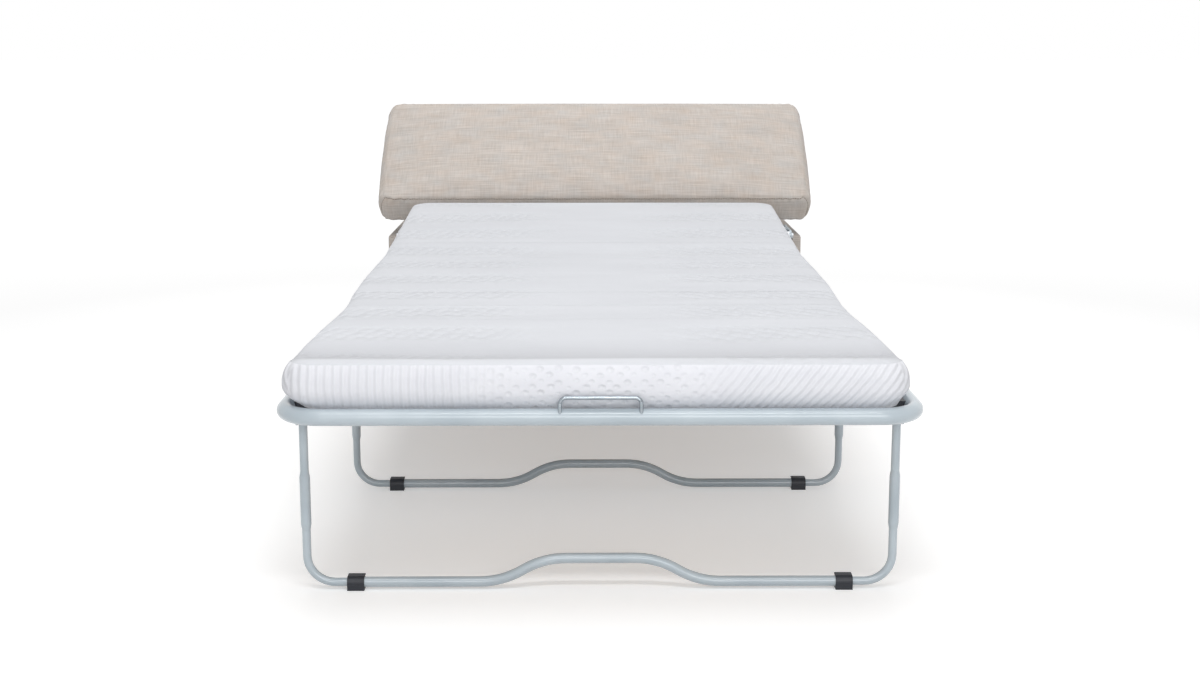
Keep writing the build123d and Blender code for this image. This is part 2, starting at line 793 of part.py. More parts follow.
with BuildPart() as arm_bolts:
    for side in (-1, 1):
        outer = arm_x + arm_thickness
        low, high = sorted((side * rail_outer_x, side * outer))
        rod(pin_radius, low, high, mount_y, mount_z)
        low, high = sorted((side * outer, side * (outer + bolt_head_height)))
        head_plane = Plane.YZ.offset(low)
        with BuildSketch(head_plane):
            with Locations((mount_y, mount_z)):
                RegularPolygon(bolt_head_radius, 6)
        extrude(amount=high - low)
save(arm_bolts.part, "arm_bolts")

# Blocks on the side walls where the arms end, with the bolts that hold both
plate_outer = inner_wall_x - liner_thickness
plate_inner = arm_x + arm_thickness
with BuildPart() as wall_plates:
    for side in (-1, 1):
        low, high = sorted((side * plate_inner, side * plate_outer))
        with BuildSketch(Plane.YZ.offset(low)):
            with Locations((arm_end[0], arm_end[1] - wall_bolt_drop / 2)):
                RectangleRounded(wall_plate_length, wall_plate_height, arm_width / 3)
        extrude(amount=high - low)
    reach = plate_outer + overrun
    for y, z in wall_bolt_places:
        rod(wall_bolt_radius, -reach, reach, y, z, Mode.SUBTRACT)
save(wall_plates.part, "wall_plates")

with BuildPart() as wall_bolts:
    for side in (-1, 1):
        for y, z in wall_bolt_places:
            seat = arm_x if (y, z) == arm_end else plate_inner
            low, high = sorted((side * seat, side * (inner_wall_x + wall_bolt_bite)))
            rod(wall_bolt_radius, low, high, y, z)
            low, high = sorted((side * (seat - bolt_head_height), side * seat))
            with BuildSketch(Plane.YZ.offset(low)):
                with Locations((y, z)):
                    RegularPolygon(bolt_head_radius, 6)
            extrude(amount=high - low)
save(wall_bolts.part, "wall_bolts")

with BuildPart() as headrest_pivot_pins:
    for side in (-1, 1):
        low, high = sorted((side * bracket_x, side * (arm_x + arm_thickness)))
        rod(pivot_radius, low, high, pivot_y, pivot_z)
        low, high = sorted((side * (bracket_x + bracket_thickness), side * arm_x))
        rod(collar_radius, low, high, pivot_y, pivot_z)
        low, high = sorted((side * (bracket_x - pin_head_thickness), side * bracket_x))
        rod(collar_radius, low, high, pivot_y, pivot_z)
save(headrest_pivot_pins.part, "headrest_pivot_pins")

# Raised half of the lid, and the brackets that hinge it on the arms
save(raised(cushion(lid_width, headrest_depth)), "headrest_cushion")
save(raised(lid_board(lid_width, headrest_depth)), "headrest_board")

tilt = radians(lid_tilt)
to_pivot = (pivot_y - y_of(lid_front), pivot_z - raised_edge_z)
pivot_u = to_pivot[0] * cos(tilt) + to_pivot[1] * sin(tilt)
pivot_w = to_pivot[1] * cos(tilt) - to_pivot[0] * sin(tilt)
bracket_drop = -bracket_width / 2
with BuildPart() as headrest_brackets:
    for side in (-1, 1):
        x_low = bracket_x if side > 0 else -bracket_x - bracket_thickness
        elbow = (-bracket_width / 2 - soft_gap - cushion_side_bulge / 2, bracket_drop - soft_gap)
        bend = [(pivot_u, pivot_w), elbow, (bracket_reach, bracket_drop - soft_gap)]
        flat_bar(bend, bracket_width, x_low, bracket_thickness)
        flange_x = side * (bracket_x + bracket_thickness / 2 - flange_width / 2)
        flange_length = bracket_reach - 2 * board_inset
        with Locations((flange_x, board_inset + flange_length / 2, -flange_thickness / 2)):
            Box(flange_width, flange_length, flange_thickness)
    reach = bracket_x + bracket_thickness + overrun
    rod(pivot_radius + running_clearance, -reach, reach, pivot_u, pivot_w, Mode.SUBTRACT)
save(raised(headrest_brackets.part), "headrest_brackets")

# Rear half of the lid, lying flat on the box walls
rear_start = lid_front + headrest_depth + lid_gap
rear_depth = lid_back - rear_start
rear_place = Location((0, y_of(rear_start), box_top))
save(cushion(lid_width, rear_depth).moved(rear_place), "rear_lid_cushion")
save(lid_board(lid_width, rear_depth).moved(rear_place), "rear_lid_board")
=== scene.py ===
import json
import math

import bmesh
import bpy
from mathutils import Matrix, Vector, noise


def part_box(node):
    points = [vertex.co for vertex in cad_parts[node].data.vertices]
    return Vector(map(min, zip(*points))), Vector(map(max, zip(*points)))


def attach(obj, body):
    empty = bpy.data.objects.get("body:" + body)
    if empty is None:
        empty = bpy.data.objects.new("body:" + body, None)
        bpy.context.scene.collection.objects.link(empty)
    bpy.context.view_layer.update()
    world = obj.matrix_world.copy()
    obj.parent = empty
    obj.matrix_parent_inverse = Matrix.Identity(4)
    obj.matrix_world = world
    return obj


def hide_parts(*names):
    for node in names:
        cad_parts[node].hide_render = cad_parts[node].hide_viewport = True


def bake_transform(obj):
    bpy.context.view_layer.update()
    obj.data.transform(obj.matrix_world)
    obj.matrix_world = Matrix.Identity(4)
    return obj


# Looks of a fold-out ottoman guest bed: linen lid, knitted mattress, powder-coated frame.
# Metres, +Y from the foot end towards the ottoman, the floor at Z 0.

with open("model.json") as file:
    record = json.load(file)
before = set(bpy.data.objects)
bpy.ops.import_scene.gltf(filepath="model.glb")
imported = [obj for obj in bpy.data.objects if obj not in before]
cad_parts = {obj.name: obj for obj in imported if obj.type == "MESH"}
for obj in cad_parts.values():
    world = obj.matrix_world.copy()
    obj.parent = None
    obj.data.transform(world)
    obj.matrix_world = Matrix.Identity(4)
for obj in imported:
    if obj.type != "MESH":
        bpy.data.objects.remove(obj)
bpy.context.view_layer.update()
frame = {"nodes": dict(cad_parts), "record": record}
nodes = frame["nodes"]
MM = 0.001


def low(name):
    """The lowest corner of a node."""
    return Vector(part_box(name)[0])


def high(name):
    """The highest corner of a node."""
    return Vector(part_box(name)[1])


def joint_place(name):
    """A hinge's point in the row frame."""
    joints = frame["record"]["behaviour"]["joints"]
    return next(Vector(joint["pos_m"]) for joint in joints if joint["name"] == name)


RAIL_LINE = joint_place("foot_fold").z
FOOT_HINGE = joint_place("foot_fold").y
MIDDLE_HINGE = joint_place("link_fold").y
HEAD_HINGE = joint_place("middle_fold").y


# Colour and node helpers


def linear(code):
    """A hex sRGB colour as linear RGBA."""
    parts = [int(code[i : i + 2], 16) / 255 for i in (0, 2, 4)]
    return [p / 12.92 if p <= 0.04045 else ((p + 0.055) / 1.055) ** 2.4 for p in parts] + [1]


def add(tree, kind, inputs=(), stops=(), **settings):
    """Adds one node with its settings, sets or links its inputs, and gives its first output."""
    made = tree.nodes.new(kind)
    for name, value in settings.items():
        setattr(made, name, value)
    for socket, value in inputs.items() if isinstance(inputs, dict) else enumerate(inputs):
        if isinstance(value, bpy.types.NodeSocket):
            tree.links.new(value, made.inputs[socket])
        else:
            made.inputs[socket].default_value = value
    for element, (position, colour) in zip(made.color_ramp.elements if stops else (), stops):
        element.color = linear(colour)
        element.position = position
    return made.outputs[0] if made.outputs else made


def start_material(name, place, roughness, metallic=0.0, **sockets):
    """A material with its shader, its tree, and the coordinates of its patterns in metres."""
    made = bpy.data.materials.new(name)
    made.use_nodes = True
    tree = made.node_tree
    shader = tree.nodes["Principled BSDF"]
    shader.inputs["Roughness"].default_value = roughness
    shader.inputs["Metallic"].default_value = metallic
    for socket, value in sockets.items():
        shader.inputs[socket.replace("_", " ")].default_value = value
    if place == "cloth":
        return made, tree, shader, add(tree, "ShaderNodeUVMap", uv_map="cloth")
    vector = add(tree, "ShaderNodeTexCoord").node.outputs["Object"]
    if place == "panel":
        # Laid out for upright panels: along the panel, then up it
        x, y, z = add(tree, "ShaderNodeSeparateXYZ", (vector,)).node.outputs
        along = add(tree, "ShaderNodeMath", (x, y), operation="ADD")
        vector = add(tree, "ShaderNodeCombineXYZ", (along, z))
    return made, tree, shader, vector


def finish_surface(tree, shader, colour, height, strength, depth):
    """Gives the shader its colour, and a relief of the given depth."""
    tree.links.new(colour, shader.inputs["Base Color"])
    relief = add(tree, "ShaderNodeBump", {"Height": height, "Strength": strength, "Distance": depth})
    tree.links.new(relief, shader.inputs["Normal"])


def streaks(tree, vector, scale, detail=3.0, rough=0.55):
    """Noise drawn out along the axis with the smaller scale."""
    mapped = add(tree, "ShaderNodeMapping", {0: vector, 3: scale})
    return add(tree, "ShaderNodeTexNoise", {0: mapped, "Scale": 1.0, "Detail": detail, "Roughness": rough})


def weighted(tree, *terms):
    """The sum of several values, each with its weight."""
    total = None
    for value, weight in terms:
        if weight != 1:
            value = add(tree, "ShaderNodeMath", (value, weight), operation="MULTIPLY")
        total = value if total is None else add(tree, "ShaderNodeMath", (total, value), operation="ADD")
    return total


def product(tree, *factors):
    """Several values multiplied together."""
    total = factors[0]
    for factor in factors[1:]:
        total = add(tree, "ShaderNodeMath", (total, factor), operation="MULTIPLY")
    return total


def seen_rays(tree):
    """One for the rays that show the background: to the camera, and through metal and glass."""
    rays = add(tree, "ShaderNodeLightPath").node.outputs
    shown = ("Is Camera Ray", "Is Glossy Ray", "Is Transmission Ray")
    total = weighted(tree, *[(rays[name], 1) for name in shown])
    return add(tree, "ShaderNodeMath", (total, 1.0), operation="MINIMUM")


# Materials

# Wave scales are 314 over the spacing in millimetres
THREAD_SCALE = 196.0
DASH_BAND_SCALE = 1.6
RIB_SCALE = 26.0
SLANTED_RIB_SCALE = 30.0
TICKING_START = -low("mattress_foot").y
# Share of painted shade in the dip behind the mattress's front lip
PAINTED_DIP_SHADE = 0.75


def slub_linen(name, place):
    """Slub linen: thick and thin yarns both ways, mottled beige, dull with a soft sheen."""
    made, tree, shader, vector = start_material(name, place, 0.92, Sheen_Weight=0.25, Sheen_Roughness=0.5)
    # Slubs are 40 to 90 mm long and 2 to 3 mm thick, and lie mostly across the cloth
    weft = streaks(tree, vector, (13, 330, 1))
    warp = streaks(tree, vector, (360, 20, 1))
    cloud = streaks(tree, vector, (7, 22, 1))
    dye = streaks(tree, vector, (17, 26, 1))
    # The threads are 0.7 mm apart in the cloth and drawn 1.6 mm apart, to show
    weave, cross = (
        add(
            tree,
            "ShaderNodeTexWave",
            {0: vector, "Scale": THREAD_SCALE, "Distortion": 1.5},
            bands_direction=way,
        ).node.outputs[1]
        for way in "XY"
    )
    tone = weighted(tree, (weft, 1), (warp, 0.7), (cloud, 0.5))
    tone = add(tree, "ShaderNodeMath", (tone, 2.2), operation="DIVIDE")
    warm = add(tree, "ShaderNodeValToRGB", (tone,), ((0.36, "BBADA1"), (0.64, "DACFC6")))
    cool = add(tree, "ShaderNodeValToRGB", (tone,), ((0.36, "B5AEA8"), (0.64, "D5D0CB")))
    chosen = add(tree, "ShaderNodeValToRGB", (dye,), ((0.3, "000000"), (0.7, "FFFFFF")))
    mixed = add(tree, "ShaderNodeMix", {0: chosen, 6: warm, 7: cool}, data_type="RGBA").node.outputs[2]
    slubs = weighted(tree, (weft, 1), (warp, 0.7))
    height = weighted(tree, (slubs, 0.6), (product(tree, weave, cross), 0.25))
    finish_surface(tree, shader, mixed, height, 0.6, 1.2 * MM)
    return made


def knitted_ticking(name):
    """White knitted ticking: rows of slanted dashes knitted in bands across the top."""
    made, tree, shader, vector = start_material(name, "cloth", 0.88, Sheen_Weight=0.2, Sheen_Roughness=0.6)
    soft = streaks(tree, vector, (3, 8, 1), 2.0)
    # The knit's rows are 1.5 mm apart and drawn 4 mm apart, to show
    rows = streaks(tree, vector, (8, 240, 1), 2.0)
    # Painted shade: the top's knit is painted darker than the same knit on the sides
    knit_tone_painted_by_light = add(tree, "ShaderNodeValToRGB", (soft,), ((0.3, "D3D5DA"), (0.7, "D9DBE0")))
    # Dashes 30 mm long, slanted, in bands 200 mm apart that leave the middle plain
    across, station, _ = add(tree, "ShaderNodeSeparateXYZ", (vector,)).node.outputs
    banding = {0: vector, "Scale": DASH_BAND_SCALE, "Distortion": 1.2}
    bands = add(tree, "ShaderNodeTexWave", banding, bands_direction="Y").node.outputs[1]
    bands = add(tree, "ShaderNodeValToRGB", (bands,), ((0.3, "000000"), (0.7, "FFFFFF")))
    aside = add(tree, "ShaderNodeMath", (across,), operation="ABSOLUTE")
    aside = add(tree, "ShaderNodeValToRGB", (aside,), ((0.06, "000000"), (0.2, "FFFFFF")))
    slanted = add(tree, "ShaderNodeMapping", {0: vector, 2: (0, 0, 0.5), 3: (46, 30, 1)})
    dashes = add(tree, "ShaderNodeTexVoronoi", {0: slanted, "Scale": 1.0, "Randomness": 0.35})
    # Painted shade: the ticking's colour is pulled towards a grey in the dip behind the front lip, where
    # shade falls
    station = add(tree, "ShaderNodeMath", (station, TICKING_START), operation="ADD")
    begun = add(tree, "ShaderNodeValToRGB", (station,), ((0.03, "000000"), (0.05, "FFFFFF")))
    ended = add(tree, "ShaderNodeValToRGB", (station,), ((0.11, "FFFFFF"), (0.24, "000000")))
    dip = product(tree, begun, PAINTED_DIP_SHADE, ended)
    # B9BABF is the grey of the painted shade in the dip
    tone_with_painted_dip_shade = {0: dip, 6: knit_tone_painted_by_light, 7: linear("B9BABF")}
    tone_with_painted_dip_shade = add(tree, "ShaderNodeMix", tone_with_painted_dip_shade, data_type="RGBA").node.outputs[2]
    height = weighted(tree, (product(tree, dashes, -1.0, product(tree, bands, aside)), 1), (rows, 0.12))
    finish_surface(tree, shader, tone_with_painted_dip_shade, height, 0.9, 7.5 * MM)
    return made


def ribbed_ticking(name):
    """The mattress's side: the same knit in ribs 12 mm apart, small dimples, then slanted ribs."""
    made, tree, shader, vector = start_material(name, "cloth", 0.88, Sheen_Weight=0.2, Sheen_Roughness=0.6)
    soft = streaks(tree, vector, (9, 30, 1), 2.0)
    # Painted light: the sides' knit is painted lighter than the same knit on the top, as the front faces
    # catch more light
    knit_tone_painted_by_light = add(tree, "ShaderNodeValToRGB", (soft,), ((0.3, "E2E3E9"), (0.7, "E8E9EE")))
    upright = {0: vector, "Scale": RIB_SCALE, "Distortion": 1.2}
    upright = add(tree, "ShaderNodeTexWave", upright, bands_direction="X").node.outputs[1]
    turned = add(tree, "ShaderNodeMapping", {0: vector, 2: (0, 0, 0.7)})
    slanted = {0: turned, "Scale": SLANTED_RIB_SCALE, "Distortion": 1.5}
    slanted = add(tree, "ShaderNodeTexWave", slanted).node.outputs[1]
    # Dimples 5 mm wide, 12 to 17 mm apart in slanting rows
    placed = add(tree, "ShaderNodeMapping", {0: vector, 2: (0, 0, 0.78), 3: (58, 84, 1)})
    dimples = add(tree, "ShaderNodeTexVoronoi", {0: placed, "Scale": 1.0, "Randomness": 0.3})
    dimples = add(tree, "ShaderNodeValToRGB", (dimples,), ((0.1, "000000"), (0.36, "FFFFFF")))
    # Ribs on the left third of the foot end, dimples in the middle, slanted ribs on the right
    across = add(tree, "ShaderNodeSeparateXYZ", (vector,))
    across = add(tree, "ShaderNodeMath", (across, 0.46), operation="ADD")
    across = add(tree, "ShaderNodeMath", (across, 0.92), operation="PINGPONG")
    left = add(tree, "ShaderNodeValToRGB", (across,), ((0.24, "FFFFFF"), (0.36, "000000")))
    right = add(tree, "ShaderNodeValToRGB", (across,), ((0.56, "000000"), (0.68, "FFFFFF")))
    besides = [add(tree, "ShaderNodeMath", (1.0, part), operation="SUBTRACT") for part in (left, right)]
    ribs = weighted(tree, (product(tree, upright, left), 1), (product(tree, slanted, right), 1))
    height = weighted(tree, (ribs, 1), (product(tree, dimples, *besides), 1.1))
    finish_surface(tree, shader, knit_tone_painted_by_light, height, 0.75, 2.2 * MM)
    return made


def powder_coat(name, dark, light):
    """Polyester powder coat on steel: pale satin paint with a fine orange peel."""
    made, tree, shader, vector = start_material(name, "object", 0.3, Coat_Weight=0.6, Coat_Roughness=0.12)
    cloud = streaks(tree, vector, (11, 11, 11), 2.0)
    # The peel's cells are 2 mm across
    peel = streaks(tree, vector, (480, 480, 480), 1.0)
    colour = add(tree, "ShaderNodeValToRGB", (cloud,), ((0.3, dark), (0.7, light)))
    finish_surface(tree, shader, colour, peel, 0.12, 0.4 * MM)
    return made


def plated_steel(name, roughness, dark, light):
    """Zinc or chrome plated steel, drawn wire and turned pins, with faint drawing lines."""
    made, tree, shader, vector = start_material(name, "object", roughness, 1.0)
    lines = streaks(tree, vector, (60, 900, 900), 2.0)
    colour = add(tree, "ShaderNodeValToRGB", (lines,), ((0.3, dark), (0.7, light)))
    finish_surface(tree, shader, colour, lines, 0.08, 0.3 * MM)
    return made


def moulded_plastic(name, dark, light):
    """Injection moulded polypropylene, or spun polyester, with a fine even grain."""
    made, tree, shader, vector = start_material(name, "object", 0.46)
    grain = streaks(tree, vector, (900, 900, 900), 2.0)
    colour = add(tree, "ShaderNodeValToRGB", (grain,), ((0.3, dark), (0.7, light)))
    finish_surface(tree, shader, colour, grain, 0.25, 0.3 * MM)
    return made


def beech(name, dark, light, scale):
    """Steam-bent beech or birch ply: straight grain along X with short dark flecks."""
    made, tree, shader, vector = start_material(name, "object", 0.5, Coat_Weight=0.1, Coat_Roughness=0.3)
    grain = streaks(tree, vector, scale, 4.0, 0.6)
    flecks = streaks(tree, vector, [part * 4 for part in scale], 2.0)
    wood = weighted(tree, (grain, 0.75), (flecks, 0.25))
    colour = add(tree, "ShaderNodeValToRGB", (wood,), ((0.38, dark), (0.62, light)))
    finish_surface(tree, shader, colour, wood, 0.2, 0.4 * MM)
    return made


def lining(name):
    """Black spun-bonded lining cloth, with its point-bonded pattern 3 mm apart."""
    made, tree, shader, vector = start_material(name, "object", 0.95)
    dots = add(tree, "ShaderNodeTexVoronoi", {0: vector, "Scale": 350.0, "Randomness": 0.1})
    colour = add(tree, "ShaderNodeValToRGB", (dots,), ((0.3, "16161A"), (0.7, "232328")))
    finish_surface(tree, shader, colour, dots, 0.4, 0.5 * MM)
    return made


LINEN = slub_linen("slub_linen", "cloth")
PANEL_LINEN = slub_linen("slub_linen_panels", "panel")
TICKING = knitted_ticking("knitted_ticking")
TICKING_SIDE = ribbed_ticking("ribbed_ticking")
PAINT = powder_coat("powder_coated_steel", "AFBBC3", "BCC7CE")
ZINC = plated_steel("zinc_plated_steel", 0.32, "A9ADB2", "C9CCD0")
BRIGHT = plated_steel("bright_steel_wire", 0.16, "848C92", "A7AEB4")
PLASTIC = moulded_plastic("moulded_polypropylene", "14171F", "22262F")
BEECH = beech("bent_beech_slats", "BF9461", "DDB988", (3, 140, 90))
PLYWOOD = beech("birch_plywood", "B6935F", "D2B27E", (3, 60, 320))
LINING = lining("spun_bonded_lining")
THREAD = moulded_plastic("spun_polyester_thread", "7D7064", "8A7D70")

FINISHES = {
    "frame_paint": PAINT,
    "zinc_steel": ZINC,
    "bright_wire": BRIGHT,
    "black_plastic": PLASTIC,
    "beech": BEECH,
    "plywood": PLYWOOD,
    "panel_board": PANEL_LINEN,
    "black_lining": LINING,
    "ticking": TICKING,
    "linen": LINEN,
}
for part in frame["record"]["subparts"]:
    data = nodes[part["node"]].data
    data.materials.clear()
    data.materials.append(FINISHES[part["material_slot"]])


# Padded pieces


def ripple(x, y, z, size, seed):
    """Smooth noise between -1 and 1, with bumps of about the given size."""
    return noise.noise(Vector((x / size + seed, y / size - seed, z / size + 2 * seed)))


def rounded_plan(x, y, half_width, half_depth, radius):
    """Pulls a point of a rectangle in where its corners are round."""
    over_x = (abs(x) - half_width + radius) / radius
    over_y = (abs(y) - half_depth + radius) / radius
    if over_x <= 0 or over_y <= 0:
        return x, y
    reach = max(over_x, over_y) / math.hypot(over_x, over_y)
    new_x = half_width - radius + over_x * reach * radius
    new_y = half_depth - radius + over_y * reach * radius
    return math.copysign(new_x, x), math.copysign(new_y, y)


def pad_mesh(name, counts, place, materials, choose):
    """A closed pad from a lattice of cells: place() turns shares of it into points."""
    nx, ny, nz = counts
    mesh = bmesh.new()
    found = {}

    def corner(i, j, k):
        if (i, j, k) not in found:
            found[i, j, k] = mesh.verts.new(place(2 * i / nx - 1, 2 * j / ny - 1, k / nz))
        return found[i, j, k]

    cloth = mesh.loops.layers.uv.new("cloth")

    def face(corners, side):
        made = mesh.faces.new([corner(*c) for c in corners])
        made.smooth = True
        made.material_index = choose(made.calc_center_median(), side)
        across, up = {"top": (0, 1), "base": (0, 1), "end": (0, 2), "flank": (1, 2)}[side]
        for loop in made.loops:
            point = loop.vert.co
            loop[cloth].uv = (point[across], point[up])

    for i in range(nx):
        for j in range(ny):
            face([(i, j, nz), (i + 1, j, nz), (i + 1, j + 1, nz), (i, j + 1, nz)], "top")
            face([(i, j, 0), (i, j + 1, 0), (i + 1, j + 1, 0), (i + 1, j, 0)], "base")
    for k in range(nz):
        for i in range(nx):
            face([(i, 0, k), (i + 1, 0, k), (i + 1, 0, k + 1), (i, 0, k + 1)], "end")
            face([(i + 1, ny, k), (i, ny, k), (i, ny, k + 1), (i + 1, ny, k + 1)], "end")
        for j in range(ny):
            face([(0, j + 1, k), (0, j, k), (0, j, k + 1), (0, j + 1, k + 1)], "flank")
            face([(nx, j, k), (nx, j + 1, k), (nx, j + 1, k + 1), (nx, j, k + 1)], "flank")
    made = bpy.data.objects.new(name, bpy.data.meshes.new(name))
    mesh.to_mesh(made.data)
    mesh.free()
    for material in materials:
        made.data.materials.append(material)
    bpy.context.scene.collection.objects.link(made)
    return made


def finish_soft(piece, body, node):
    """Hides the parts that a padded piece stands for, and sets it to ride on its body."""
    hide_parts(*node)
    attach(piece, body)


# A lattice point lies on the outside when its share of the way out is this or more
OUTER = 0.9999

# Unevenness of soft tops, in broad and in small bumps
BROAD_BUMP = 1.6 * MM
SMALL_BUMP = 0.7 * MM

LID_CELLS = (230, 80, 12)
LID_BAND = 70 * MM
LID_CROWN = 24 * MM
LID_CORNER = 24 * MM
SIDE_BULGE = 14 * MM
END_BULGE = 3 * MM
PLAN_BULGE = 5 * MM
SEAM_GROOVE = 2.4 * MM
SEAM_ROLL = 2.2 * MM
SEAM_ROLL_WIDTH = 5 * MM
PUCKER = 0.8 * MM
PUCKER_SPACING = 21 * MM
CORNER_REACH = 110 * MM
SIDE_SLACK = 2.2 * MM
CREASE = 0.9 * MM
CREASE_LENGTH = 14 * MM
BUMP_MARGIN = 40 * MM
BASE_LEVEL = -0.3 * MM
COVER_MARGIN = 45 * MM
SEAMS = {}


def lid_cushion(name, width, depth, seed):
    """A lid cushion made flat: its top wraps over soft sides, and a boxing is sewn in at the front."""
    half_width, half_depth = width / 2, depth / 2

    def place(a, b, t):
        x, y = rounded_plan(a * half_width, b * half_depth, half_width, half_depth, LID_CORNER)
        edge = max(abs(a), abs(b)) >= OUTER
        front = b < -OUTER
        along = x if abs(b) > abs(a) else y
        to_corner = half_width - abs(x) + half_depth - abs(y)
        near_corner = min(1, max(0, 1 - to_corner / CORNER_REACH))
        swell = math.sin(math.pi * t) ** 0.7 if edge else 0.0
        side = SIDE_BULGE * (1 - swell) * (0.5 + 0.5 * t)
        end = END_BULGE * (1 - swell) * min(1, 2 * t)
        seam = SEAM_GROOVE * max(0, 1 - (1 - t) * 9) * front
        gather = math.sin(along / PUCKER_SPACING * 2 * math.pi + 4 * ripple(along, 0, 0, 0.06, seed))
        pull = PUCKER * gather * (t**3 + (1 - t) ** 4 * 0.7) * (0.5 + 1.6 * near_corner)
        slack = SIDE_SLACK * ripple(along, 0, t * 0.09, 0.055, seed)
        slack *= math.sin(math.pi * t) * (0.4 + near_corner)
        if not edge:
            pull = slack = 0.0
        x *= 1 - (side + seam + pull + slack - PLAN_BULGE * (1 - b * b)) / half_width
        y *= 1 - (end + seam + pull + slack) / half_depth
        if edge and t < OUTER:
            z = LID_BAND * t
        elif edge:
            z = LID_BAND - SEAM_GROOVE / 2 * front
        elif t > 0.5:
            flank = min((1 - abs(a)) * half_width, (1 - abs(b)) * half_depth)
            rise = LID_CROWN * (1 - a**4) * (1 - abs(b) ** 5)
            roll = SEAM_ROLL * (1 - math.exp(-(1 + b) * half_depth / SEAM_ROLL_WIDTH))
            crease = CREASE * gather * math.exp(-flank / CREASE_LENGTH) * (0.4 + near_corner)
            soft = BROAD_BUMP * ripple(x, y, 0, 0.16, seed) + SMALL_BUMP * ripple(x, y, 0, 0.05, seed + 9)
            z = LID_BAND + rise + roll + crease + soft * min(1, flank / BUMP_MARGIN)
        else:
            z = BASE_LEVEL
        return x, y + half_depth, z

    def choose(centre, side):
        """The lining covers the middle of the base."""
        reach = max(abs(centre.x) - half_width, abs(centre.y - half_depth) - half_depth)
        return 1 if side == "base" and reach < -COVER_MARGIN else 0

    nx, ny, nz = LID_CELLS
    seam = [Vector(place(-1, -1, k / nz)) for k in range(nz)]
    seam += [Vector(place(2 * i / nx - 1, -1, 1)) for i in range(nx + 1)]
    seam += [Vector(place(1, -1, 1 - k / nz)) for k in range(1, nz + 1)]
    return pad_mesh(name, LID_CELLS, place, [LINEN, LINING], choose), seam


# The headrest stands for the front half of the lid, tipped up on its brackets
LID_TILT = math.radians(37.5)
lid_width = high("headrest_cushion").x - low("headrest_cushion").x
HEADREST_DEPTH = 382 * MM
LID_FRONT = Vector((0, 0.61625, 0.3535))
headrest, seam = lid_cushion("headrest_cushion_cover", lid_width, HEADREST_DEPTH, 3)
tipped = Matrix.Translation(LID_FRONT) @ Matrix.Rotation(LID_TILT, 4, "X")
headrest.data.transform(tipped)
SEAMS[headrest.name] = [tipped @ point for point in seam]
finish_soft(headrest, "headrest", ["headrest_cushion"])

rear_low = low("rear_lid_cushion")
rear_high = high("rear_lid_cushion")
rear_lid, seam = lid_cushion("rear_lid_cushion_cover", lid_width, rear_high.y - rear_low.y, 8)
turned = Matrix.Translation((0, rear_high.y, rear_low.z)) @ Matrix.Rotation(math.pi, 4, "Z")
rear_lid.data.transform(turned)
SEAMS[rear_lid.name] = [turned @ point for point in seam]
finish_soft(rear_lid, "root", ["rear_lid_cushion"])

# Box covers: thin wadding and linen over the panels, black lining on their inner faces
PANEL_WADDING = 1.5 * MM
PANEL_ROUND = 7 * MM
PANEL_TUCK = 0.3 * MM
PANEL_SLACK = 0.6 * MM
LINING_DROP = 9 * MM


def panel_cover(name, node, inward, cells):
    """A padded panel of the box: its edges soft, its face a little slack, its inner face lined."""
    lowest, highest = low(node), high(node)
    middle, half = (lowest + highest) / 2, (highest - lowest) / 2
    # Wadding thickens the panel; at its two ends the cover is tucked in
    half = half + Vector([PANEL_WADDING if inward[axis] else -PANEL_TUCK for axis in (0, 1)] + [0])
    reach = [half[axis] - PANEL_ROUND for axis in range(3)]

    def place(a, b, t):
        flat = Vector((a * half.x, b * half.y, (2 * t - 1) * half.z))
        core = Vector([max(-reach[axis], min(reach[axis], flat[axis])) for axis in range(3)])
        out = flat - core
        if out.length > 0:
            out = out.normalized() * PANEL_ROUND
        point = middle + core + out
        slack = PANEL_SLACK * ripple(point.x, point.y, point.z, 0.11, 4)
        return point - Vector(inward) * slack * (out.dot(Vector(inward)) < 0)

    def choose(centre, side):
        inner = (centre - middle).dot(Vector(inward)) > reach[0 if abs(inward[0]) else 1]
        return 1 if inner and centre.z < highest.z - LINING_DROP else 0

    piece = pad_mesh(name, cells, place, [LINEN, LINING], choose)
    finish_soft(piece, "root", [node])


panel_cover("box_side_cover_left", "box_side_panel_left", (1, 0, 0), (10, 100, 44))
panel_cover("box_side_cover_right", "box_side_panel_right", (-1, 0, 0), (10, 100, 44))
panel_cover("box_front_cover", "box_front_panel", (0, 1, 0), (130, 10, 36))
panel_cover("box_back_cover", "box_back_panel", (0, -1, 0), (130, 10, 44))

# Mattress: one shape, turned up at the head hinge and cut where its folds begin and end

mattress_low = low("mattress_foot")
mattress_width = high("mattress_foot").x - mattress_low.x
MATTRESS_CELLS = (152, 314, 14)
MATTRESS_BAND = high("mattress_middle").z - low("mattress_middle").z
MATTRESS_CORNER = 46 * MM
MATTRESS_LENGTH = 1885 * MM
MATTRESS_SHIFT = -6 * MM
LOWER_INSET = 20 * MM
LOWER_SHARE = 0.45
UPPER_INSET = 11 * MM
UPPER_SHARE = 0.5
EDGE_ROLL = 26 * MM
EDGE_RIPPLE = 1.1 * MM
FRONT_LIP = 7 * MM
LIP_PLACE = 24 * MM
LIP_LENGTH = 32 * MM
LIP_MARGIN = 14 * MM
LIP_AT_EDGE = 0.7
LIP_DIP = 7 * MM
LIP_DIP_PLACE = 130 * MM
LIP_DIP_LENGTH = 75 * MM
SIDE_INSET = 2 * MM
WAIST = 12 * MM
WAIST_PLACE = 530 * MM
WAIST_LENGTH = 210 * MM
HEAD_SLOPE = math.radians(4.3)
HINGE_POINT = Vector((0, HEAD_HINGE, RAIL_LINE))
SLOPE_RUN = 60 * MM


